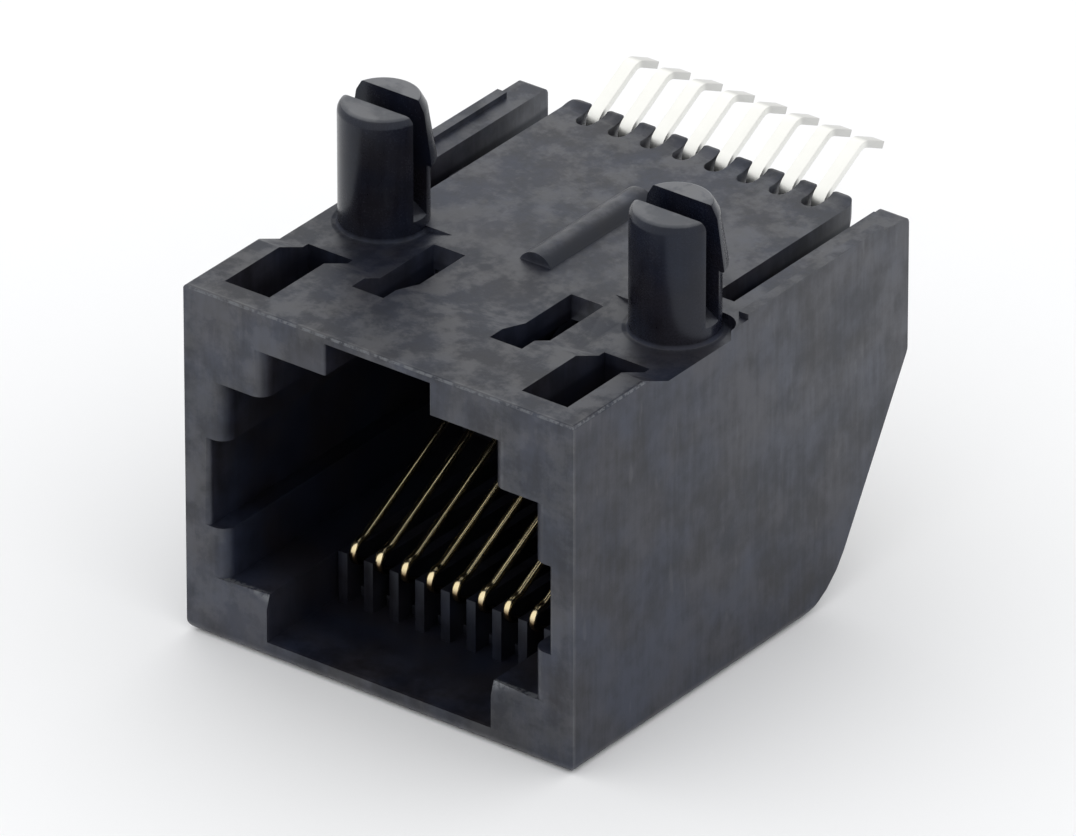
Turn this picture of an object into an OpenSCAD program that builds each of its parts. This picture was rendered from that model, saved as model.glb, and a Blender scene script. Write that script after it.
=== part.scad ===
// Eight-way modular jack for a printed board, drawn with its board side up.
// X runs across the mouth, Y runs from the mouth back to the solder tails, Z points at the board.
// The origin is midway between the two board pegs, on the plane that the board rests against.

/* [Shell] */
// Width across the side walls
shell_w = 15.24; // [15:0.02:16]
// Height from the flat side to the board plane
shell_h = 12.42; // [12.3:0.02:13]
// Length of the side walls, from the mouth face
shell_l = 17.55; // [17.3:0.05:18.5]
// Thickness of the flat wall
flat_t = 0.63; // [0.5:0.01:0.7]
// Thickness of the side walls beside the carrier
side_t = 1.05; // [0.9:0.05:1.2]
// Height at which the rear edge starts to slope in
heel_z = 7.45; // [6.5:0.05:8]
// How far the slope has come in at the flat side
heel_in = 4.26; // [3.8:0.02:4.4]
// Radius where the slope meets the flat side
heel_r = 3.3; // [2:0.1:3.6]
// Radius along the edges of the flat side
edge_r = 0.4; // [0.1:0.05:0.5]
// Radius along the edges of the board side
board_edge_r = 0.12; // [0.06:0.02:0.2]

/* [Plug opening] */
// Width that the plug body slides in
plug_w = 12; // [11.8:0.02:12.1]
// Height of the two ledges that the plug slides on
ledge_z = 2.28; // [2.1:0.02:2.4]
// Width between the ledges
ledge_gap = 8.84; // [8.7:0.02:9]
// Depth of the facet at the front of each ledge, at its inner end
ledge_lead = 0.16; // [0.1:0.02:0.3]
// Height of the facet at the front of each ledge, at its inner end
ledge_fall = 0.5; // [0.3:0.05:0.7]
// Height of the ceiling over the plug's shoulders
plug_z = 9.32; // [9.1:0.02:9.5]
// Width of the step above the shoulders
step_w = 8.9; // [8.6:0.02:9.1]
// Height of the ceiling over the step
step_z = 11.01; // [10.9:0.01:11.1]
// Width of the latch notch
latch_w = 4.06; // [3.9:0.02:4.12]
// Height of the latch notch
latch_z = 12.14; // [12:0.01:12.18]
// Depth at which the latch catches
catch_y = 3.05; // [2.9:0.05:3.2]
// Height of the latch's way behind the catch
latch_way_z = 11.22; // [11.1:0.01:11.3]
// Width across the side recesses
recess_w = 13.3; // [13:0.02:13.6]
// Bottom of the side recesses
recess_z = 4.07; // [3.8:0.02:4.3]
// Height of the side recesses
recess_h = 3.15; // [2.8:0.05:3.4]
// Radius of the side faces at the mouth
lead = 0.5; // [0.1:0.02:0.55]
// Radius of the side recesses at the mouth
recess_lead = 0.2; // [0.05:0.01:0.3]
// Radius of the latch notch at the mouth
latch_lead = 0.08; // [0.04:0.01:0.1]

/* [Board side] */
// Length of the front strip that the board rests on
strip_l = 3.7; // [3.5:0.05:4]
// Length of the slope behind the strip
ramp_l = 1.2; // [1:0.05:1.5]
// Depth of the pocket at the pegs
pocket_d = 0.52; // [0.4:0.02:0.6]
// Half width of the shallow floor between the pegs
shallow_x = 3.2; // [2.8:0.1:3.4]
// Width over which the floor sinks toward the pegs
shallow_fade = 1; // [0.4:0.1:1.2]
// Rear end of the pocket between the pegs
pocket_y = 8.06; // [8:0.02:8.1]
// Rear end of the pocket outside the pegs
pocket_side_y = 8.95; // [8.8:0.05:9]
// Radius at the outer rear corners of the pocket
pocket_r = 0.8; // [0.4:0.05:1]
// Depth of the plate under the board
plate_d = 0.32; // [0.2:0.02:0.4]
// Thickness of the plate over the carrier
plate_t = 0.75; // [0.7:0.01:0.8]
// How far the plate stops short of the rear edges of the side walls
plate_back = 0.05; // [0:0.01:0.2]
// Width of the plate between the side slots
plate_w = 11.24; // [11.1:0.02:11.4]
// Radius at the outer rear corners of the plate
plate_r = 0.4; // [0.1:0.05:0.5]
// Length of the teeth's upturned tips
tip_l = 0.5; // [0.4:0.02:0.8]
// Height of the teeth's tips over the plate
tip_h = 0.12; // [0.06:0.01:0.3]
// Radius at the corners of the teeth
tooth_r = 0.12; // [0.05:0.01:0.2]
// Undercut of the teeth at the plate's underside
tooth_under = 0.36; // [0.2:0.02:0.5]
// Front end of the side slots
side_slot_y = 9.93; // [9.8:0.01:10.5]
// Depth of the side slots in front of the carrier
side_slot_d = 2.5; // [1.5:0.1:2.6]
// Depth of the tops of the side walls under the board
wall_d = 0.18; // [0.12:0.01:0.3]
// Radius at the rear ends of the tops of the side walls
wall_r = 0.25; // [0.1:0.01:0.4]
// Width of the ridges along the side walls
ridge_w = 0.37; // [0.3:0.01:0.45]
// Front end of the ridges
ridge_y = 9.05; // [9:0.05:9.3]
// Length of the ridges
ridge_l = 7.15; // [6.8:0.05:7.5]
// Width of the round rib on the plate
rib_w = 1.24; // [1:0.02:1.4]
// Height of the round rib
rib_h = 0.38; // [0.32:0.01:0.42]
// Front end of the round rib
rib_y = 8.15; // [8.1:0.05:8.5]
// Length of the round rib
rib_l = 5.45; // [5:0.05:6]

/* [Windows] */
// Width of the blind windows by the corners
blind_w = 1.77; // [1.5:0.01:1.8]
// Distance from the blind windows to the side faces
blind_edge = 0.92; // [0.8:0.02:1]
// Front end of the blind windows
blind_y = 0.93; // [0.8:0.01:1.1]
// Length of the blind windows
blind_l = 4.24; // [4:0.02:4.4]
// Depth of the blind windows
blind_d = 2.3; // [1:0.1:2.4]
// Width of the latch windows
catch_w = 1.25; // [1.1:0.01:1.3]
// Length of the latch windows
catch_l = 4.2; // [4:0.05:4.4]
// Distance from the latch windows to the sides of the notch
catch_inset = 0.05; // [0:0.01:0.1]

/* [Pegs] */
// Distance between the board pegs
peg_pitch = 11.43; // [11.3:0.01:11.5]
// Distance from the mouth face to the pegs
peg_y = 7.8; // [7.7:0.01:7.9]
// Radius of the pegs
peg_r = 1.47; // [1.4:0.01:1.55]
// Width of the slit in each peg
slit_w = 0.68; // [0.6:0.01:0.75]
// Height of the slit's floor over the board plane
slit_z = 0.38; // [0.2:0.02:0.5]
// Width of the level middle of the slit's floor
slit_level = 1.8; // [1.2:0.1:2.2]
// How far the slit's floor falls at the outside of the peg
slit_fall = 0.36; // [0.1:0.02:0.4]
// Height of the plain half over the board plane
peg_h = 3.74; // [3.6:0.02:4]
// Radius at the tip of the plain half
peg_tip = 0.27; // [0.1:0.01:0.3]
// Board thickness that the barb snaps over
board_t = 1.6; // [1.5:0.05:1.7]
// How far the barb stands out of the peg
barb_out = 0.21; // [0.1:0.01:0.25]
// Play between the board and the barb
barb_play = 0.18; // [0.1:0.01:0.25]
// Height of the barbed half over the board plane
barb_h = 4; // [3.9:0.01:4.2]
// Height of the blunt nose of the barbed half
nose_h = 0.4; // [0.3:0.02:0.5]
// How far the nose of the barbed half draws in
nose_in = 0.3; // [0.2:0.02:0.4]
// Width of the round at the foot of each peg
foot_w = 0.1; // [0.06:0.01:0.2]
// Height of the round at the foot of each peg
foot_h = 0.12; // [0.08:0.01:0.18]

/* [Carrier] */
// Distance from the mouth face to the comb under the contacts
comb_y = 3.45; // [3.4:0.05:3.8]
// Thickness of the tray under the contacts
tray_t = 0.34; // [0.3:0.01:0.4]
// Distance from the front of the comb to the tray
tray_back = 0.7; // [0.5:0.05:1]
// Rise of the comb's ribs over the ledges
comb_rise = 0.16; // [0:0.01:0.2]
// Width of the comb's ribs
comb_rib = 0.36; // [0.3:0.01:0.4]
// Distance from the mouth face to the carrier's block
block_y = 12.2; // [12:0.05:12.4]
// Height of the wide part of the block
shoulder_z = 8.2; // [7.5:0.1:9]
// Width of the block above its shoulders
neck_w = 10.9; // [10.5:0.1:11.1]
// Height of the sloping shoulders
shoulder_rise = 0.6; // [0.3:0.1:0.8]
// Thickness of the full-width flange that closes the plug opening
flange_t = 0.8; // [0.6:0.1:1.2]
// Gap between the carrier and the shell beside it
seat = 0.04; // [0.02:0.01:0.08]
// Length of the fins that guide the spring tips
fin_l = 2; // [1.8:0.1:2.2]
// Height of the guide fins
fin_h = 3.2; // [3:0.1:3.6]
// Rise of the guide fins toward the block
fin_rise = 1; // [0.6:0.1:1.2]

/* [Contacts] */
// Distance between neighbouring springs
pitch = 1.016; // [1:0.002:1.03]
// Distance between neighbouring tails
tail_pitch = 1.27; // [1.26:0.002:1.28]
// Thickness of the contact strip
strip_t = 0.25; // [0.22:0.01:0.28]
// Width of the springs
spring_w = 0.28; // [0.24:0.01:0.34]
// Width of the tails
tail_w = 0.48; // [0.42:0.01:0.5]
// Gap at each side of a contact in its groove
groove_gap = 0.05; // [0.03:0.01:0.06]
// Width of the slots that the tails leave through
tail_slot_w = 0.65; // [0.62:0.01:0.68]
// Length of the slots that the tails leave through
tail_slot_l = 1.17; // [1.1:0.01:1.25]
// Distance from the rear edge of the plate to the contacts' upright runs
run_back = 0.41; // [0.36:0.01:0.45]
// Angle of the springs over the flat wall
spring_angle = 28.5; // [26:0.5:30]
// Distance from the mouth face to the fronts of the springs
spring_y = 3.23; // [3.2:0.01:3.4]
// Height of the short flat at the front of the springs
spring_z = 2.95; // [2.9:0.01:3.1]
// Length of the short flat at the front of the springs
spring_flat = 0.53; // [0.4:0.01:0.6]
// Centre-line radius of the fold at the front of the springs
fold_r = 0.36; // [0.3:0.01:0.4]
// Angle of the lower leg under the fold
leg_angle = 25; // [20:1:30]
// Length of the springs, front to tip
spring_l = 7.6; // [7.4:0.1:7.7]
// Angle of the tails over the board plane
tail_angle = 29; // [26:1:31]
// Height of the tails' crests over the board plane
crest_z = 0.75; // [0.6:0.05:0.9]
// Distance from the rear edge of the shell to the tails' crests
crest_l = 1.6; // [1.4:0.05:1.8]
// Distance from the rear edge of the shell to the tail ends
tail_l = 2.65; // [2.4:0.05:2.8]
// Drop from the crests to the tail ends
tail_drop = 0.5; // [0.4:0.05:0.6]

/* [Hidden] */
$fn = 64;

WAYS = 8;            // circuits
OVER = 1;            // how far a cut runs past the face that it opens
BEND = 0.5;          // centre-line radius of the ordinary bends in the contacts
JOG = 1;             // height of the straight runs above and below the contacts' fan
SUNK = 0.1;          // how deep an added form reaches into what carries it
STEP = 15;           // angle between the points of a curve
TURN = 360;
plastic = [0.17, 0.17, 0.19];
gilt = [0.83, 0.68, 0.36];

pocket_z = shell_h - pocket_d;
plate_z = shell_h - plate_d;
wall_z = shell_h - wall_d;
plate_l = shell_l - plate_back;
plate_under = plate_z - plate_t;
bay_w = shell_w - 2 * side_t;
ledge_under = flat_t + tray_t;
heel_slope = heel_in / heel_z;

groove_w = spring_w + 2 * groove_gap;
tail_groove_w = tail_w + 2 * groove_gap;

tail_slot_r = tail_slot_w / 2;
run_y = plate_l - run_back;
block_rear = run_y + strip_t / 2;

run_z = ledge_under + strip_t / 2;
jog_z0 = heel_z + JOG;
jog_z1 = plate_under - JOG;

function unit(v) = v / norm(v);
function across(v) = [-v[1], v[0]];
function flat_xy(p) = [p[0], p[1]];
function reversed(q) = [for (i = [len(q) - 1:-1:0]) q[i]];

// Points of the arc that rounds the corner c between a and b.
function arc(a, c, b, r) =
    let (u = unit(a - c), v = unit(b - c), half = acos(u * v) / 2,
         mid = c + unit(u + v) * r / sin(half),
         from = c + u * r / tan(half) - mid, to = c + v * r / tan(half) - mid,
         start = atan2(from[1], from[0]),
         turn = (atan2(to[1], to[0]) - start + 1.5 * TURN) % TURN - TURN / 2,
         n = max(2, ceil(abs(turn) / STEP)))
    [for (k = [0:n]) mid + r * [cos(start + turn * k / n), sin(start + turn * k / n)]];

// A point is [across, up] or [across, up, corner radius].
function rounded(a, p, b) = len(p) < 3 ? [p] : arc(flat_xy(a), flat_xy(p), flat_xy(b), p[2]);
function outline(p) =
    let (n = len(p)) [for (i = [0:n - 1]) each rounded(p[(i + n - 1) % n], p[i], p[(i + 1) % n])];
function route(p) =
    let (n = len(p)) [for (i = [0:n - 1])
        each i == 0 || i == n - 1 ? [p[i]] : rounded(p[i - 1], p[i], p[i + 1])];

// The route moved sideways by d, with mitred corners.
function beside(q, d) =
    [for (i = [0:len(q) - 1])
        let (u = unit(q[max(i, 1)] - q[max(i, 1) - 1]),
             v = unit(q[min(i, len(q) - 2) + 1] - q[min(i, len(q) - 2)]),
             n = across(unit(u + v)))
        q[i] + n * d / (n * across(u))];
function strip(q, left, right) = concat(beside(q, left), reversed(beside(q, -right)));

// Where a line through p at angle a meets the height z or the depth y.
function at_height(p, a, z) = [p[0] + (z - p[1]) / tan(a), z];
function at_depth(p, a, y) = [y, p[1] + (y - p[0]) * tan(a)];

// Side profile (depth, height) given a width, and front profile (across, height) given a depth.
module along_x(w) rotate([90, 0, 90]) translate([0, 0, -w / 2]) linear_extrude(w) children();
module along_y(y0, y1) translate([0, y1, 0]) rotate([90, 0, 0]) linear_extrude(y1 - y0) children();

// A box from its low corner to its high corner.
module block(low, high) translate(low) cube(high - low);
module both_sides() { children(); mirror([1, 0, 0]) children(); }

// An opening of width w in the face at Y 0, whose two edges are rounded by r.
module flare(w, r) both_sides()
    polygon(concat([for (a = [0:STEP:90]) [w / 2 + r * (1 - cos(a)), r * (1 - sin(a))]],
                   [[w / 2 + r, -OVER], [0, -OVER], [0, r]]));

// Everything is drawn from the mouth face and the flat side, then moved to the origin.
module at_board() translate([0, -peg_y, -shell_h]) children();

// ---- housing ----

module shell_body() {
    intersection() {
        along_x(shell_w)
            polygon(outline([[0, 0, edge_r], [shell_l - heel_in, 0, heel_r], [shell_l, heel_z, edge_r],
                             [shell_l, shell_h, board_edge_r], [0, shell_h, board_edge_r]]));
        along_y(-OVER, shell_l + OVER)
            polygon(outline([[-shell_w / 2, 0, edge_r], [shell_w / 2, 0, edge_r],
                             [shell_w / 2, shell_h, board_edge_r], [-shell_w / 2, shell_h, board_edge_r]]));
    }
}

// Side profile of a floor that slopes down behind the front strip to the height z.
module sunk_floor(z) polygon([[strip_l, shell_h + OVER], [strip_l, shell_h], [strip_l + ramp_l, z],
                              [pocket_y, z], [pocket_y, shell_h + OVER]]);

// The pocket behind the front strip: level with the plate in the middle, deeper at the pegs.
module pocket() {
    side_w = shell_w / 2 + OVER;
    along_x(2 * side_w) sunk_floor(plate_z);
    intersection() {
        along_x(2 * side_w) sunk_floor(pocket_z);
        both_sides() along_y(0, shell_l)
            polygon([[shallow_x, plate_z], [shallow_x + shallow_fade, pocket_z], [side_w, pocket_z],
                     [side_w, shell_h + OVER], [shallow_x, shell_h + OVER]]);
    }
    both_sides() translate([0, 0, pocket_z]) linear_extrude(pocket_d + OVER)
        polygon(outline([[peg_pitch / 2, strip_l + ramp_l], [peg_pitch / 2, pocket_side_y],
                         [shell_w / 2, pocket_side_y, pocket_r], [shell_w / 2, strip_l + ramp_l]]));
}

// Lowers the plate, and the side walls beside it, which are round at their rear ends.
module plate_cut() {
    block([-bay_w / 2, pocket_y, plate_z], [bay_w / 2, shell_l + OVER, shell_h + OVER]);
    along_x(shell_w + 2 * OVER)
        polygon(concat([[pocket_y, shell_h + OVER], [pocket_y, wall_z]],
                       arc([pocket_y, wall_z], [shell_l, wall_z], [shell_l, heel_z], wall_r),
                       [[shell_l + OVER, wall_z - wall_r], [shell_l + OVER, shell_h + OVER]]));
}

module ridge()
    block([shell_w / 2 - ridge_w, ridge_y, plate_z - plate_t], [shell_w / 2, ridge_y + ridge_l, shell_h]);

// Rib of round section, sunk in the plate.
module centre_rib() {
    rib_r = (pow(rib_w / 2, 2) + pow(rib_h, 2)) / (2 * rib_h);
    intersection() {
        translate([0, rib_y, plate_z + rib_h - rib_r]) rotate([-90, 0, 0]) cylinder(r = rib_r, h = rib_l);
        block([-rib_w, rib_y, plate_z - plate_t / 2], [rib_w, rib_y + rib_l, shell_h + OVER]);
    }
}

// The teeth between the tail slots turn up in a curve and are undercut below.
module teeth() {
    tip_r = (pow(tip_l, 2) + pow(tip_h, 2)) / (2 * tip_h);
    sweep = asin(tip_l / tip_r);
    curl = [for (k = [0:6]) [plate_l - board_edge_r - tip_l + tip_r * sin(sweep * k / 6),
                             plate_z + tip_r * (1 - cos(sweep * k / 6))]];
    along_x(plate_w)
        polygon(concat([[plate_l, plate_z - SUNK], [curl[0][0], plate_z - SUNK]], curl,
                       [[plate_l, plate_z + tip_h]]));
}

module tooth_undercut() along_x(plate_w + OVER)
    polygon([[plate_l - tooth_under, plate_under - OVER], [plate_l - tooth_under, plate_under],
             [plate_l, plate_z + SUNK], [shell_l + OVER, plate_z + SUNK],
             [shell_l + OVER, plate_under - OVER]]);

module plate_corners() both_sides()
    translate([plate_w / 2 - plate_r, plate_l - plate_r, plate_under - OVER]) difference() {
        cube([plate_r + OVER, plate_r + OVER, plate_t + plate_d + 2 * OVER]);
        cylinder(r = plate_r, h = plate_t + plate_d + 2 * OVER);
    }

// Slots that flare at the rear, where the corners of the teeth are round.
module tail_slots() for (i = [0:WAYS - 1]) translate([tail_x(i), plate_l, plate_under - OVER]) {
    cut_h = plate_t + plate_d + 2 * OVER;
    translate([0, tail_slot_r - tail_slot_l, 0]) {
        cylinder(r = tail_slot_r, h = cut_h);
        translate([-tail_slot_r, 0, 0]) cube([tail_slot_w, tail_slot_l + OVER, cut_h]);
    }
    mirror([0, 1, 0]) linear_extrude(cut_h) flare(tail_slot_w, tooth_r);
}

module side_slots() both_sides()
    block([plate_w / 2, side_slot_y, plate_z - side_slot_d], [bay_w / 2, shell_l + OVER, shell_h + OVER]);

module blind_window() block([shell_w / 2 - blind_edge - blind_w, blind_y, shell_h - blind_d],
                            [shell_w / 2 - blind_edge, blind_y + blind_l, shell_h + OVER]);

module latch_window() block([latch_w / 2 + catch_inset, catch_y, step_z - OVER],
                            [latch_w / 2 + catch_inset + catch_w, catch_y + catch_l, shell_h + OVER]);

// Side faces rounded toward the mouth by r.
module mouth_lead(w, z0, z1, r) translate([0, 0, z0]) linear_extrude(z1 - z0) flare(w, r);

// A facet on the front of each ledge that grows from nothing at the side to the inner end.
module ledge_facet() both_sides() {
    reach = (plug_w - ledge_gap) / 2;
    side = norm([ledge_lead, reach]);
    translate([plug_w / 2, 0, ledge_z])
        rotate([-atan(reach * ledge_lead / (side * ledge_fall)), 0, -atan(ledge_lead / reach)])
            block([-reach - OVER, -OVER, -2 * ledge_fall], [0, 0, OVER]);
}

module plug_opening() {
    recess_top = recess_z + recess_h;
    block([-plug_w / 2, -OVER, ledge_z], [plug_w / 2, block_y + OVER, plug_z]);
    block([-step_w / 2, -OVER, ledge_z], [step_w / 2, block_y + OVER, step_z]);
    block([-latch_w / 2, -OVER, ledge_z], [latch_w / 2, catch_y, latch_z]);
    block([-latch_w / 2 - catch_w, catch_y, ledge_z],
          [latch_w / 2 + catch_w, block_y + OVER, latch_way_z]);
    block([-recess_w / 2, -OVER, recess_z], [recess_w / 2, block_y + OVER, recess_top]);
    along_y(-OVER, block_y + OVER)
        polygon([[-ledge_gap / 2, flat_t], [ledge_gap / 2, flat_t],
                 [ledge_gap / 2, ledge_z + OVER], [-ledge_gap / 2, ledge_z + OVER]]);
    mouth_lead(plug_w, ledge_z, recess_z, lead);
    mouth_lead(recess_w, recess_z, recess_top, recess_lead);
    mouth_lead(plug_w, recess_top, plug_z, lead);
    mouth_lead(step_w, plug_z, step_z, lead);
    mouth_lead(latch_w, step_z, latch_z, latch_lead);
    ledge_facet();
}

// The bay behind the plug opening, open at the rear, that takes the carrier.
module carrier_bay()
    block([-bay_w / 2, block_y, flat_t], [bay_w / 2, shell_l + OVER, plate_under]);

// Half profiles of a peg, from its foot in the pocket.
peg_foot = pocket_z - shell_h;

module plain_profile() polygon(outline([
    [0, peg_foot - SUNK], [peg_r, peg_foot - SUNK], [peg_r, peg_h, peg_tip], [0, peg_h]]));

module barbed_profile() polygon(outline([
    [0, peg_foot - SUNK], [peg_r, peg_foot - SUNK], [peg_r, board_t + barb_play],
    [peg_r + barb_out, board_t + barb_play, barb_out / 4], [peg_r - nose_in / 4, barb_h - nose_h, nose_in],
    [peg_r - nose_in, barb_h, nose_in / 3], [0, barb_h]]));

module foot_profile() polygon(concat(
    [[0, peg_foot - SUNK], [peg_r + foot_w, peg_foot - SUNK]],
    [for (a = [0:STEP:90]) [peg_r + foot_w * (1 - sin(a)), peg_foot + foot_h * (1 - cos(a))]],
    [[0, peg_foot + foot_h]]));

// The slit's floor is level in the middle and falls toward the outside of the peg.
module slit() {
    far = 2 * peg_r;
    low = slit_z - slit_fall * (far - slit_level / 2) / (peg_r - slit_level / 2);
    along_y(-slit_w / 2, slit_w / 2)
        polygon([[-far, low], [-slit_level / 2, slit_z], [slit_level / 2, slit_z], [far, low],
                 [far, barb_h + OVER], [-far, barb_h + OVER]]);
}

// The half toward the mouth is plain, the rear half carries the barb.
module peg() {
    far = 2 * peg_r;
    difference() {
        union() {
            intersection() {
                rotate_extrude() plain_profile();
                block([-far, -far, peg_foot - OVER], [far, 0, peg_h + OVER]);
            }
            intersection() {
                rotate_extrude() barbed_profile();
                block([-far, 0, peg_foot - OVER], [far, far, barb_h + OVER]);
            }
            rotate_extrude() foot_profile();
        }
        slit();
    }
}

module housing() color(plastic) at_board() {
    difference() {
        union() {
            difference() {
                shell_body();
                pocket();
                plate_cut();
            }
            both_sides() ridge();
            centre_rib();
            teeth();
        }
        plug_opening();
        carrier_bay();
        side_slots();
        tooth_undercut();
        plate_corners();
        tail_slots();
        both_sides() blind_window();
        both_sides() latch_window();
    }
    for (x = [-1, 1]) translate([x * peg_pitch / 2, peg_y, shell_h]) peg();
}

// ---- contacts ----

// Centre line of the spring, from its tip round the fold and along the tray to the vertical run.
fold_back = spring_y + strip_t / 2 + fold_r;
fold_vertex = fold_back - fold_r * tan(90 - leg_angle / 2);
rise_at = [spring_y + strip_t / 2 + spring_flat, spring_z];
tip = at_depth(rise_at, spring_angle, spring_y + spring_l);
leg_foot = at_height([fold_vertex, spring_z], -leg_angle, run_z);
heel_angle = atan(1 / heel_slope);
run_heel = [run_y - (heel_z - run_z) * heel_slope, run_z];
spring_line = route([tip, [rise_at[0], rise_at[1], BEND], [fold_vertex, spring_z, fold_r],
                     [leg_foot[0], leg_foot[1], BEND], [run_heel[0], run_heel[1], BEND],
                     [run_y, heel_z, BEND], [run_y, jog_z0]]);

// Centre line of the tail, from the vertical run over the crest to the end.
crest = [shell_l + crest_l, shell_h + crest_z];
tail_bend = at_depth(crest, tail_angle, run_y);
tail_line = route([[run_y, jog_z1], [tail_bend[0], tail_bend[1], BEND], [crest[0], crest[1], BEND],
                   [shell_l + tail_l, shell_h + crest_z - tail_drop]]);

// The fan between the two pitches, in the plane of the vertical run.
module fan(x0, x1, extra) polygon([
    [x0 - spring_w / 2 - extra, jog_z0], [x0 + spring_w / 2 + extra, jog_z0],
    [x1 + tail_w / 2 + extra, jog_z1], [x1 - tail_w / 2 - extra, jog_z1]]);

function spring_x(i) = (i - (WAYS - 1) / 2) * pitch;
function tail_x(i) = (i - (WAYS - 1) / 2) * tail_pitch;

module contact(i) color(gilt) at_board() {
    translate([spring_x(i), 0, 0]) along_x(spring_w) polygon(strip(spring_line, strip_t / 2, strip_t / 2));
    along_y(run_y - strip_t / 2, run_y + strip_t / 2) fan(spring_x(i), tail_x(i), 0);
    translate([tail_x(i), 0, 0]) along_x(tail_w) polygon(strip(tail_line, strip_t / 2, strip_t / 2));
}

// ---- carrier ----

// Side section of the block, with its rear face parallel to the shell's sloping edge.
module carrier_section() {
    foot_y = block_rear - (heel_z - flat_t) * heel_slope;
    along_x(bay_w)
        polygon([[block_y, flat_t], [foot_y, flat_t], [block_rear, heel_z],
                 [block_rear, plate_under], [block_y, plate_under]]);
}

module carrier_block() {
    intersection() {
        carrier_section();
        along_y(block_y - OVER, block_rear + OVER)
            polygon([[-bay_w / 2 + seat, flat_t], [bay_w / 2 - seat, flat_t],
                     [bay_w / 2 - seat, shoulder_z], [neck_w / 2, shoulder_z + shoulder_rise],
                     [neck_w / 2, plate_under], [-neck_w / 2, plate_under],
                     [-neck_w / 2, shoulder_z + shoulder_rise], [-bay_w / 2 + seat, shoulder_z]]);
    }
}

// Closes the rear of the plug opening over its whole section.
module flange() block([-bay_w / 2 + seat, block_y, flat_t],
                      [bay_w / 2 - seat, block_y + flange_t, plate_under]);

module comb_ribs() for (j = [0:WAYS])
    translate([(j - WAYS / 2) * pitch, 0, 0])
        block([-comb_rib / 2, comb_y, flat_t], [comb_rib / 2, block_y, ledge_z + comb_rise]);

module guide_fins() for (j = [0:WAYS])
    translate([(j - WAYS / 2) * pitch, 0, tip[1] - fin_h / 2]) along_x(comb_rib)
        polygon([[block_y, -fin_rise / 2], [block_y - fin_l, fin_rise / 2],
                 [block_y - fin_l, fin_h - fin_rise / 2], [block_y, fin_h + fin_rise / 2]]);

module carrier() color(plastic) at_board() difference() {
    union() {
        carrier_block();
        intersection() { flange(); carrier_section(); }
        block([-ledge_gap / 2 + seat, comb_y + tray_back, flat_t],
              [ledge_gap / 2 - seat, block_y, ledge_under]);
        comb_ribs();
        guide_fins();
    }
    // grooves, open to the rear, whose floors carry the contacts
    for (i = [0:WAYS - 1]) {
        translate([spring_x(i), 0, 0]) along_x(groove_w)
            polygon(strip(route([[block_y - OVER, run_z], [run_heel[0], run_heel[1], BEND],
                                 [run_y, heel_z, BEND], [run_y, jog_z0]]),
                          strip_t / 2, strip_t / 2));
        along_y(run_y - strip_t / 2, run_y + OVER) fan(spring_x(i), tail_x(i), groove_gap);
        translate([tail_x(i) - tail_groove_w / 2, run_y - strip_t / 2, jog_z1])
            cube([tail_groove_w, strip_t + OVER, plate_under]);
    }
}

housing();
carrier();
contact(0);  // contact_1
contact(1);  // contact_2
contact(2);  // contact_3
contact(3);  // contact_4
contact(4);  // contact_5
contact(5);  // contact_6
contact(6);  // contact_7
contact(7);  // contact_8
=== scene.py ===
# %% [markdown]
# # A modular jack for a printed board
#
# The jack is a small black moulding with eight sprung contacts. Its solids come from the packed
# frame, at their real size and in metres. This script dresses them: it softens their edges,
# gives each its finish, and sets up a plain studio with one camera.

# %% The frame
import math
from types import SimpleNamespace

import bmesh
import bpy
from mathutils import Matrix, Vector


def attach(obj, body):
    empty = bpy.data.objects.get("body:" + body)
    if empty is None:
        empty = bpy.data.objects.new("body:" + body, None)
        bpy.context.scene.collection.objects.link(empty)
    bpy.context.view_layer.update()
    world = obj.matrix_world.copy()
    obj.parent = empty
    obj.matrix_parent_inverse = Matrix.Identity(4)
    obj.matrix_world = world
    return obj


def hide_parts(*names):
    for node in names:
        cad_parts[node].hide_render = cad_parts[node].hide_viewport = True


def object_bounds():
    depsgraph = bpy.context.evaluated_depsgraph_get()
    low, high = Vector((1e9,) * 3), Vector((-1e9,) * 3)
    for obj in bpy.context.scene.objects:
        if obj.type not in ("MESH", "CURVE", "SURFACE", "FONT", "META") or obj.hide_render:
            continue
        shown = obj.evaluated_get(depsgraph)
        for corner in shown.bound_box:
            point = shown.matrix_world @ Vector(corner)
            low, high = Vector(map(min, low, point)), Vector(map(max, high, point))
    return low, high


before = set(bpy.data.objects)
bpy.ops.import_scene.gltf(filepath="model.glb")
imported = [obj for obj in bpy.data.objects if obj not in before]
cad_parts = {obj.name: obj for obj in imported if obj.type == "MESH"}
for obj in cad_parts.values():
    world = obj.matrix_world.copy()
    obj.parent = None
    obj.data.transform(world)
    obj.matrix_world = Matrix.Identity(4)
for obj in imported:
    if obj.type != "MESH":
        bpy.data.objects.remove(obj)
cad_low, cad_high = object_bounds()
MM = 0.001
print("nodes:", ", ".join(sorted(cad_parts)))
print("size in mm:", [round(x / MM, 2) for x in cad_high - cad_low])

# %% [markdown]
# ## Edges
#
# A moulding tool has no perfectly sharp corner, and plated strip is rounded by its punch. A
# solid from CAD has sharp corners, so light never catches them and the part looks cut from card.
# A bevel could be a modifier or an operator. The operator is used here on a merged copy, after the
# triangles of each flat face are joined again, because a bevel needs clean edges to follow.

# %% A bevel on one part of a form
TAIL_Z = -2.2 * MM                 # above this the contacts are broad solder tails


def bevel(form, width, angle, segments, part=lambda edge: True, clamp=True):
    """Bevels the edges of one part of the form that turn by more than angle, in degrees."""
    sharp = [e for e in form.edges
             if e.is_manifold and e.calc_face_angle(0) > math.radians(angle) and part(e)]
    bmesh.ops.bevel(form, geom=sharp, offset=width, offset_type="OFFSET", affect="EDGES",
                    segments=segments, profile=0.5, material=-1, clamp_overlap=clamp)


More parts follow.
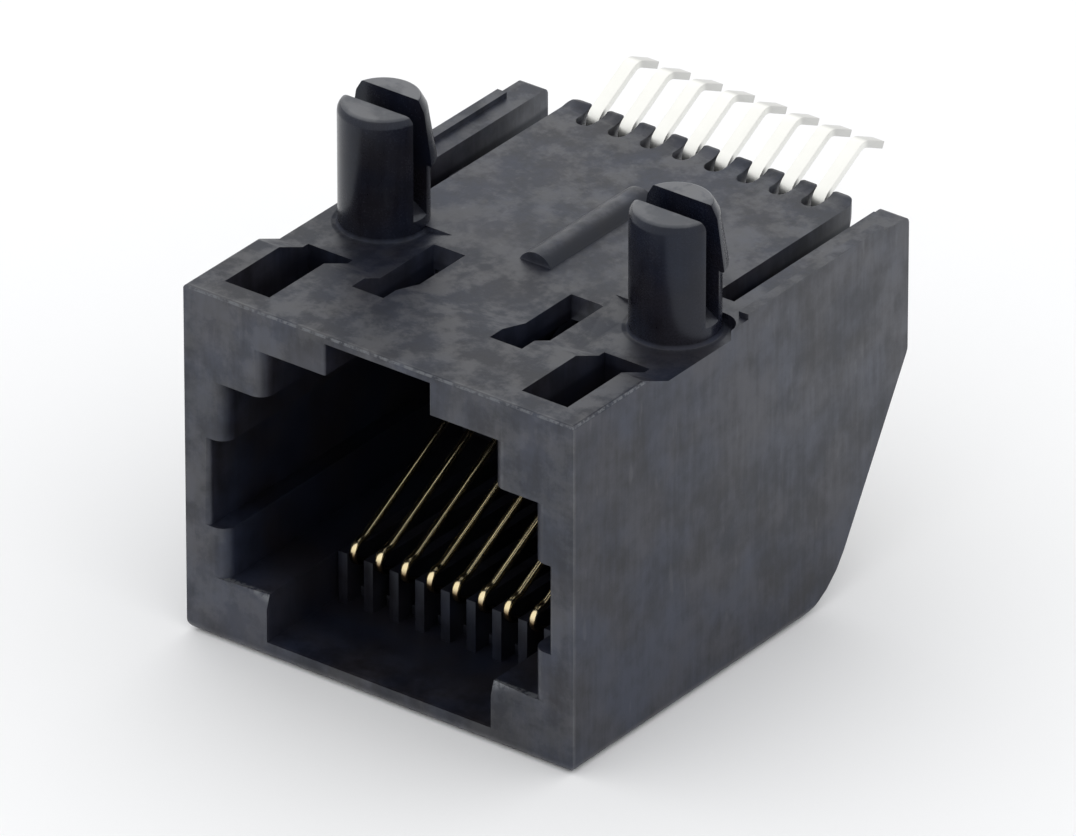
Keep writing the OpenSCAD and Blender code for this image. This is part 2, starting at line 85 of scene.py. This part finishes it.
def in_tail(edge):
    """Whether an edge belongs to a solder tail."""
    return min(v.co.z for v in edge.verts) > TAIL_Z


# %% [markdown]
# ## The way each point faces
#
# Rubbing depends on the way a surface points: a rim wears where the wall below it does not. A
# material could ask the renderer for that direction. Here each copy stores it instead, in an
# attribute of its own, so that the finish depends on nothing but the piece. For every point it is
# the mean direction of the faces around it, where a large face counts more than a thin bevel.

# %% The facing attribute
def store_facing(form):
    """Stores the direction of each point of the form as its attribute named facing."""
    facing = form.verts.layers.float_vector.new("facing")
    for vert in form.verts:
        spread = sum((face.normal * face.calc_area() for face in vert.link_faces), Vector())
        vert[facing] = spread.normalized()
    print("facing stored at", len(form.verts), "points")


# %% A softened copy of a solid
CORNER_GAP = 0.0005 * MM           # corners nearer than this are merged
FLAT_ANGLE = math.radians(0.5)     # triangles that turn less than this are one face


def softened(node, width, tail_width=None, angle=30, segments=2):
    """A copy of a CAD node with its sharp edges bevelled by width, which then stands for it."""
    form = bmesh.new()
    form.from_mesh(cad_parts[node].data)
    bmesh.ops.remove_doubles(form, verts=form.verts, dist=CORNER_GAP)
    bmesh.ops.dissolve_limit(form, angle_limit=FLAT_ANGLE, verts=form.verts, edges=form.edges)
    if tail_width:
        bevel(form, width, angle, segments, lambda edge: not in_tail(edge), clamp=False)
        bevel(form, tail_width, angle, segments, in_tail)
    else:
        bevel(form, width, angle, segments)
    for face in form.faces:
        face.smooth = True
    store_facing(form)
    mesh = bpy.data.meshes.new(node + "_soft")
    form.to_mesh(mesh)
    form.free()
    piece = bpy.data.objects.new(node + "_soft", mesh)
    bpy.context.scene.collection.objects.link(piece)
    if not tail_width:
        piece.modifiers.new("level_faces", "WEIGHTED_NORMAL").weight = 100
    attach(piece, "root")
    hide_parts(node)
    print(node, "softened, faces:", len(mesh.polygons))
    return piece


# %% [markdown]
# ## Shader expressions
#
# A finish is a small calculation: a patch is noise past a level, a mask is one fade times another.
# It could be wired node by node, but then nobody can read it back. Written as Python expressions,
# it can be read in one line. The class below wraps one socket, and each operator adds the Math
# node that does the same.

# %% A socket that takes part in arithmetic
class Value:
    """One output socket of a finish."""

    def __init__(self, finish, socket):
        self.finish = finish
        self.socket = socket

    def math(self, operation, *others):
        inputs = {i: x for i, x in enumerate((self, *others))}
        return self.finish.node("ShaderNodeMath", {"operation": operation}, inputs)

    def __add__(self, other):
        return self.math("ADD", other)

    def __sub__(self, other):
        return self.math("SUBTRACT", other)

    def __rsub__(self, other):
        return self.finish.node("ShaderNodeMath", {"operation": "SUBTRACT"}, {0: other, 1: self})

    def __mul__(self, other):
        return self.math("MULTIPLY", other)

    __radd__ = __add__
    __rmul__ = __mul__

    def between(self, low, high):
        """0 below low, 1 above high, smooth between them."""
        return self.finish.node("ShaderNodeMapRange", {"interpolation_type": "SMOOTHSTEP"},
                                {"Value": self, "From Min": low, "From Max": high})

    def past(self, fade):
        """0 before a fade and 1 past it, where a fade is a start and an end in mm."""
        return self.between(fade[0] * MM, fade[1] * MM)


# %% [markdown]
# ## A finish
#
# Each finish is one material. It reads only the place on the piece and the facing attribute, so
# the pattern stays where it is from every side. One method makes any node, and the few that are
# needed often, such as noise and a bump, have a name of their own.

# %% One material and its nodes
class Finish:
    """One material and the nodes behind it."""

    def __init__(self, name):
        self.material = bpy.data.materials.new(name)
        self.material.use_nodes = True
        self.tree = self.material.node_tree
        self.tree.nodes.clear()
        self.place = self.node("ShaderNodeTexCoord", {}, {}, "Object")
        self.facing = self.node("ShaderNodeAttribute", {"attribute_name": "facing"}, {}, "Vector")

    def node(self, kind, settings, inputs, output=0):
        """A node of any kind: its settings are set first, then its sockets are filled or linked."""
        made = self.tree.nodes.new(kind)
        for name, setting in settings.items():
            setattr(made, name, setting)
        for name, given in inputs.items():
            if isinstance(given, Value):
                self.tree.links.new(given.socket, made.inputs[name])
            else:
                made.inputs[name].default_value = given
        return Value(self, made.outputs[output])

    def along(self, axis, vector=None):
        """One axis of a vector, which is the place on the piece unless another is given."""
        return self.node("ShaderNodeSeparateXYZ", {}, {0: vector or self.place}, axis)

    def noise(self, scale, detail=2.0, stretch=(1, 1, 1), roughness=0.5):
        """Noise over the piece, with scale in cycles a metre."""
        place = self.node("ShaderNodeMapping", {}, {"Vector": self.place, "Scale": stretch})
        return self.node("ShaderNodeTexNoise", {},
                         {"Vector": place, "Scale": scale, "Detail": detail, "Roughness": roughness})

    def mix(self, factor, a, b):
        """The colour a where factor is 0, b where it is 1."""
        return self.node("ShaderNodeMix", {"data_type": "RGBA"},
                         {"Factor": factor, "A": a, "B": b}, "Result")

    def bump(self, height):
        """A normal that follows a height in metres."""
        return self.node("ShaderNodeBump", {}, {"Strength": 1.0, "Distance": 1.0, "Height": height})

    def surface(self, inputs):
        """Ends the finish with one principled shader."""
        shader = self.node("ShaderNodeBsdfPrincipled", {}, inputs)
        end = self.tree.nodes.new("ShaderNodeOutputMaterial")
        self.tree.links.new(shader.socket, end.inputs["Surface"])
        print(self.material.name, "nodes:", len(self.tree.nodes))
        return self.material


# %% [markdown]
# ## Where the plastic differs
#
# One black resin looks different from place to place. The sides of the pegs are darker and
# smoother than the shell, as from polished pockets in the tool. Their tops, the rims of the board
# side and the fronts of the ledges at the mouth are painted lighter, partly as rubbing from handling
# and partly as a painted highlight where light catches them. The cavity is dull inside and painted
# darker as shade, and one side of the rib and the front floor are painted darker as shade too.
# These zones could be separate materials with seams between them. They are masks instead, made
# from the place on the piece and the way it faces, so that each can fade into the next.
#
# Each pair of numbers below is one fade: where a mask starts to change, and where the change ends.
# A name that ends in X, Y or Z is a place in mm. A name that ends in TILT says how far a surface
# faces up, or sideways for the rib: 0 is not at all and 1 is straight.

# %% Zones around the pegs
PEG_PITCH = 11.43 * MM
PEG_RADIUS = (1.64, 1.7)           # in mm, and clear of the round at the foot
PEG_BASE_Z = (-0.6, -0.53)         # the pegs stand on the floor of the pocket, at -0.52
FOOT_Z = (-0.42, -0.36)            # the round at a peg's foot ends here
PEG_TOP_Z = (3, 3.3)
PEG_TOP_TILT = (0.8, 0.95)


def peg_zones(plastic):
    """The sides of the pegs, the rounds at their feet, and their tops."""
    x, y, z = (plastic.along(axis) for axis in "XYZ")
    off_axis = x.math("ABSOLUTE") - PEG_PITCH / 2
    radius = (off_axis * off_axis + y * y).math("SQRT")
    round_peg = (1 - radius.past(PEG_RADIUS)) * z.past(PEG_BASE_Z)
    above_foot = z.past(FOOT_Z)
    level = plastic.along("Z", plastic.facing).between(*PEG_TOP_TILT)
    return round_peg * above_foot * (1 - level), round_peg * (1 - above_foot), level * z.past(PEG_TOP_Z)


print("pegs at x in mm:", [round(side * PEG_PITCH / 2 / MM, 3) for side in (-1, 1)])

# %% Zones of the board side
BOARD_SIDE_Z = (-0.62, -0.54)      # just under the floor of the pocket
FRONT_FLOOR_Y = (-0.6, 1.6)        # the front part of the board side ends here
LEVEL_TILT = (0.7, 0.95)
RIB_X, RIB_Y = (0.8, 0.9), (-3, -2)                  # the strip of floor with the rib on it
RIB_SHADE_TILT = (0.15, 0.6)
RIM_TILT, RIM_END_TILT = (0.1, 0.4), (0.75, 0.93)


def board_zones(plastic, peg, foot):
    """The two floors, the side of the rib painted in shade, and the rims, lightened as rubbing and as
    painted highlight.
    """
    y, up = plastic.along("Y"), plastic.along("Z", plastic.facing)
    board_side = plastic.along("Z").past(BOARD_SIDE_Z)
    level = up.between(*LEVEL_TILT) * board_side
    front_floor = (1 - y.past(FRONT_FLOOR_Y)) * level
    rib = (1 - plastic.along("X").math("ABSOLUTE").past(RIB_X)) * y.past(RIB_Y)
    # painted shade: the side of the rib that faces +X is darkened and loses its coat
    rib_shaded_side = rib * plastic.along("X", plastic.facing).between(*RIB_SHADE_TILT)
    slanted = up.between(*RIM_TILT) * (1 - up.between(*RIM_END_TILT))
    rim = slanted * board_side * (1 - peg) * (1 - foot) * (1 - rib)
    return front_floor, level * (1 - front_floor), rib_shaded_side, rim


# %% Zones of the walls and the mouth
FRONT_Y = (-7.76, -7.6)            # the flat face around the mouth, at -7.8, ends here
FAR_Y, FAR_Z = (-7, 10), (-12.6, -4)                 # the film of sheen grows along these
LEDGE_Y = (-7.6, -7.5)
LEDGE_Z, LEDGE_TOP_Z = (-10.8, -10.4), (-10.1, -10)
LEDGE_TILT = (0.08, 0.25)
INSIDE_X, INSIDE_Y = (6.66, 6.72), (-7.4, -5.5)      # just wider than the side recesses
INSIDE_FLOOR_Z, INSIDE_ROOF_Z = (-12.1, -11.95), (-1, -0.8)


def zones(plastic, dull_and_shaded_inside):
    """Masks over the piece by name: 1 inside a zone and 0 outside it."""
    peg, foot, peg_top = peg_zones(plastic)
    front_floor, rear_floor, rib_shaded_side, rim = board_zones(plastic, peg, foot)
    y, z = plastic.along("Y"), plastic.along("Z")
    ledge_front = (plastic.along("Z", plastic.facing).between(*LEDGE_TILT)
                   * z.past(LEDGE_Z) * (1 - z.past(LEDGE_TOP_Z)) * (1 - y.past(LEDGE_Y)))
    # painted shade: in the cavity the light patches are darkened and the coat is taken off
    inside = ((1 - plastic.along("X").math("ABSOLUTE").past(INSIDE_X)) * y.past(INSIDE_Y)
              * z.past(INSIDE_FLOOR_Z) * (1 - z.past(INSIDE_ROOF_Z)) * dull_and_shaded_inside)
    masks = SimpleNamespace(
        peg=peg, foot=foot, peg_top=peg_top, rim=rim, rib_shaded_side=rib_shaded_side,
        front_floor=front_floor, rear_floor=rear_floor, front_face=1 - y.past(FRONT_Y),
        far_end=y.past(FAR_Y) * z.past(FAR_Z), ledge_front=ledge_front, inside=inside)
    print(plastic.material.name, "zones:", ", ".join(sorted(vars(masks))))
    return masks


# %% [markdown]
# ## Black moulded plastic
#
# The shell is moulded in a glass-filled black resin. Up close it is not one black: the resin
# flowed in patches that shine a little differently, the walls carry faint marks where they slid
# out of the tool, and the whole skin has a very fine grain. A painted image could hold all this,
# but noise has no seams and stays sharp up close, so each is a noise at its own scale. The sum of
# the larger ones, the shade, moves the colour, the roughness and the sheen together, because on the
# real skin one cause changes all three. The sheen itself is a coat of varying weight.

# %% The colour of the plastic
BLUE_BLACK, BROWN_BLACK = (0.005, 0.006, 0.012), (0.007, 0.006, 0.008)
BLUE_GREY, WARM_GREY = (0.017, 0.021, 0.038), (0.023, 0.023, 0.032)
# painted highlight and rubbing: the grey that rubbed rims, lit ledge fronts and lit peg tops turn to
RUBBED_AND_LIT_GREY = (0.09, 0.095, 0.105, 1)
PATCH = (0.38, 0.6)                # a dark patch turns light between these shades


def toned(colour, tone):
    """A colour made darker by tone, with its alpha."""
    return tuple(part * tone for part in colour) + (1,)


def resin_colour(plastic, at, shade, wear_and_highlight, tone):
    """Dark and light patches, a little blue or brown; painted highlight and rubbing lighten, painted
    shade darkens.
    """
    tint = plastic.noise(420, detail=3.0).between(0.34, 0.66)
    dark = plastic.mix(tint, toned(BLUE_BLACK, tone), toned(BROWN_BLACK, tone))
    light = plastic.mix(tint, toned(BLUE_GREY, tone), toned(WARM_GREY, tone))
    # painted shade: light patches are cut back on the rib's shaded side, in the cavity and on the front
    # floor; on the pegs they are cut back as polish
    patches = (shade.between(*PATCH) * (1 - at.peg * 0.7) * (1 - at.front_floor * 0.6)
               * (1 - at.rib_shaded_side) * (1 - at.inside * 0.7))
    return plastic.mix(wear_and_highlight * 0.7, plastic.mix(patches, dark, light), RUBBED_AND_LIT_GREY)


# %% The film of sheen
def resin_film(plastic, at, shade, wear_and_highlight, sheen):
    """The weight of the coat: more toward the far end, in patches, and none on the pegs' sides."""
    scuffs = plastic.noise(3000, detail=2.0, stretch=(1, 0.8, 0.2)).between(0.64, 0.74)
    rubbed = plastic.noise(800, detail=6.0, roughness=0.66).between(0.42, 0.6)
    mottle = 0.65 + shade.between(*PATCH) * 0.7
    pattern = mottle * (1 - at.rear_floor) + (0.2 + rubbed * 0.8) * at.rear_floor
    film = (0.23 + at.far_end * 0.43) * pattern + scuffs * 0.2 + at.peg_top * rubbed
    film = film * (1 - at.peg) * (1 - at.foot) * (1 - at.rib_shaded_side) * (1 - at.inside)
    film = film * (1 - at.front_floor) + at.front_floor * rubbed * 0.55
    film = film + at.front_face * (0.3 + rubbed * 0.45)
    return (film * sheen + wear_and_highlight * 0.6).math("MINIMUM", 1)


# %% The plastic
def moulded_black(name, tone=1.0, sheen=1.0, dull_and_shaded_inside=1.0):
    """Black resin with patches of sheen, smoother pegs, and edges lightened as rubbing and painted
    highlight.
    """
    plastic = Finish(name)
    at = zones(plastic, dull_and_shaded_inside)
    flow = plastic.noise(190, detail=6.0, roughness=0.6)
    cloud = plastic.noise(1000, detail=5.0, roughness=0.62)
    drawn = plastic.noise(4200, detail=3.0, stretch=(1, 1, 0.1), roughness=0.55)
    grain = plastic.noise(13000, detail=3.0, roughness=0.7)
    speckles = plastic.noise(5200, detail=3.0, roughness=0.7).between(0.36, 0.6)
    shade = flow * 0.46 + cloud * 0.36 + drawn * 0.18
    # painted highlight: ledge fronts and peg tops are lightened where light catches them; the rims in
    # speckles, partly as rubbing
    wear_and_highlight = (at.rim + at.ledge_front * 1.5) * speckles + at.peg_top * 0.5
    height = flow * 0.008 * MM + cloud * 0.002 * MM + drawn * 0.0007 * MM + grain * 0.0008 * MM
    return plastic.surface({
        "Base Color": resin_colour(plastic, at, shade, wear_and_highlight, tone),
        "Roughness": 0.3 + shade * 0.24 + (grain - 0.5) * 0.16 - at.peg * 0.16 + at.foot * 0.3,
        "Normal": plastic.bump(height),
        "Coat Weight": resin_film(plastic, at, shade, wear_and_highlight, sheen),
        "Coat Roughness": 0.45, "IOR": 1.37, "Specular Tint": (0.80, 0.88, 1.0, 1)})


# %% [markdown]
# ## Contact metal
#
# Each contact is one strip of copper alloy. The end that springs against the plug is plated with
# gold, and the tail that is soldered to the board is tinned. The change lies in the carrier, where
# only its open rear grooves show it, so a blend along Y puts it there. The ends of the tails are a
# duller grey. The underside of the fold at the comb is painted dark brown, as painted shade. Each
# contact could be cut into pieces with a metal each, but one mesh with blends has no seams where
# the platings meet.

# %% The plating
TIN_Y = (8.2, 8.6)
# past this the ends of the tails are a duller grey
GREY_TIP_Y = (11.3, 11.6)
FOLD_Z, FOLD_Y = (-9.86, -9.58), (-3.6, -3.3)   # below one and in front of the other it is painted dark, as shade
GOLD = (0.74, 0.60, 0.32, 1), (0.88, 0.77, 0.52, 1)
TIN = (0.80, 0.80, 0.76, 1), (0.90, 0.90, 0.87, 1)
DULL_TIN = (0.62, 0.62, 0.60, 1)
FOLD_SHADE_BROWN = (0.20, 0.13, 0.07, 1)


def plated(name):
    """Copper alloy strip, gilt at its spring end and tinned at its tail."""
    metal = Finish(name)
    y = metal.along("Y")
    tail = y.past(TIN_Y)
    gilt = metal.along("Z").past(FOLD_Z).math("MAXIMUM", y.past(FOLD_Y))
    cloud = metal.noise(900, detail=3.0)
    lines = metal.noise(9000, detail=2.0, stretch=(1, 0.06, 1))
    # painted shade: under the fold the spring is dark brown instead of gold
    spring = metal.mix(gilt, FOLD_SHADE_BROWN, metal.mix(cloud, *GOLD))
    solder = metal.mix(y.past(GREY_TIP_Y), metal.mix(cloud, *TIN), DULL_TIN)
    return metal.surface({
        "Base Color": metal.mix(tail, spring, solder), "Metallic": 1.0,
        "Roughness": 0.12 + cloud * 0.08 + lines * 0.06 + tail * 0.3,
        "Normal": metal.bump(lines * 0.0015 * MM)})


# %% [markdown]
# ## Dressing the pieces
#
# Every solid keeps its place and size, and its copy takes over its look. The shell gets the whole
# plastic. The carrier is the same resin, but it lies deep between the walls of the shell, so its
# colour is painted darker as shade, and it has little sheen. The springs are only 0.28 mm wide, so a
# bevel of 0.1 mm makes them nearly round, while the tails keep their flat faces with a finer one.
# The new finish could be put on the solids themselves, but their sharp corners would stay.

# %% Three finishes
shell_plastic = moulded_black("shell_plastic")
# tone 0.6 paints the carrier darker as shade, deep inside the shell
carrier_plastic = moulded_black("carrier_plastic", tone=0.6, sheen=0.3, dull_and_shaded_inside=0.0)
contact_metal = plated("contact_metal")

# %% Dress every piece
housing = softened("housing", 0.05 * MM)
housing.data.materials.append(shell_plastic)
carrier = softened("carrier", 0.03 * MM)
carrier.data.materials.append(carrier_plastic)
for i in range(1, 9):
    contact = softened(f"contact_{i}", 0.1 * MM, tail_width=0.04 * MM, angle=50, segments=4)
    contact.data.materials.append(contact_metal)

# %% [markdown]
# ## The studio
#
# The jack lies on a plain white floor, which is a real surface so that it takes the soft contact
# shadow. Where a ray misses everything, it meets the plain white world. A picture of a studio could
# stand there instead, but plain white lights a black part evenly and leaves its finish to be seen.

# %% The floor
floor_mesh = bpy.data.meshes.new("floor")
sheet = bmesh.new()
bmesh.ops.create_grid(sheet, x_segments=1, y_segments=1, size=0.6,
                      matrix=Matrix.Translation((0, 0, cad_low.z)))
sheet.to_mesh(floor_mesh)
sheet.free()
floor = bpy.data.objects.new("floor", floor_mesh)
bpy.context.scene.collection.objects.link(floor)
floor.data.materials.append(Finish("white_floor").surface(
    {"Base Color": (0.9, 0.905, 0.915, 1), "Roughness": 0.9, "Specular IOR Level": 0.1}))
print("floor at z in mm:", round(cad_low.z / MM, 2))

# %% The world
world = bpy.data.worlds.new("studio")
bpy.context.scene.world = world
world.use_nodes = True
sky = world.node_tree.nodes["Background"]
sky.inputs["Color"].default_value = (1, 1, 1, 1)
sky.inputs["Strength"].default_value = 1.1
print("world strength:", round(sky.inputs["Strength"].default_value, 2))

# %% [markdown]
# ## Lamps
#
# The white world is the main light, as in a light tent. Two weak soft panels add shape: one close
# behind the left shoulder picks out the pegs and springs, and a larger one overhead lifts the top.
# A sun or a spot could do it too, but their shadows have hard edges.

# %% The lamps
def panel(name, towards, distance, size, power):
    """A square lamp that faces the jack from the direction towards."""
    lamp = bpy.data.lights.new(name, "AREA")
    lamp.shape = "SQUARE"
    lamp.size = size
    lamp.energy = power
    panel_object = bpy.data.objects.new(name, lamp)
    direction = Vector(towards).normalized()
    panel_object.location = direction * distance
    panel_object.rotation_mode = "QUATERNION"
    panel_object.rotation_quaternion = direction.to_track_quat("Z", "Y")
    bpy.context.scene.collection.objects.link(panel_object)
    print(name, "at", [round(x, 3) for x in panel_object.location])


panel("rear_panel", towards=(-0.527, 0.696, 0.488), distance=0.14, size=0.09, power=0.006)
panel("top_panel", towards=(-0.6, 0.1, 1.0), distance=0.4, size=0.3, power=0.05)

# %% [markdown]
# ## The camera
#
# A long lens from well away flattens the view, as in a catalogue picture, where a short one from
# close by would swell the near corner. The camera could be placed by three coordinates, but an
# azimuth, an elevation and a point inside the shell to aim at are easier to picture.

# %% The camera
AZIMUTH = math.radians(37.13)
ELEVATION = math.radians(29.21)
DISTANCE = 0.5368
AIM = Vector((1.36, -1.32, -4.65)) * MM
SENSOR_WIDTH = 36                  # in mm, as the focal length is
FOCAL_LENGTH = 573.5

away = Vector((math.sin(AZIMUTH) * math.cos(ELEVATION), -math.cos(AZIMUTH) * math.cos(ELEVATION),
               math.sin(ELEVATION)))
right = Vector((math.cos(AZIMUTH), math.sin(AZIMUTH), 0))
upward = away.cross(right)
lens = bpy.data.cameras.new("camera")
lens.sensor_width = SENSOR_WIDTH
lens.lens = FOCAL_LENGTH
lens.clip_start, lens.clip_end = 0.05, 10
camera = bpy.data.objects.new("camera", lens)
camera.matrix_world = (Matrix.Translation(AIM + away * DISTANCE)
                       @ Matrix((right, upward, away)).transposed().to_4x4())
bpy.context.scene.collection.objects.link(camera)
bpy.context.scene.camera = camera
bpy.context.scene.view_settings.view_transform = "Standard"
print("camera at", [round(x, 4) for x in camera.location])

# %% [markdown]
# ## Sizes
#
# A bevel takes a little from each corner and leaves the flat faces where they are, so the dressed
# part has to stay within the size of its solids.
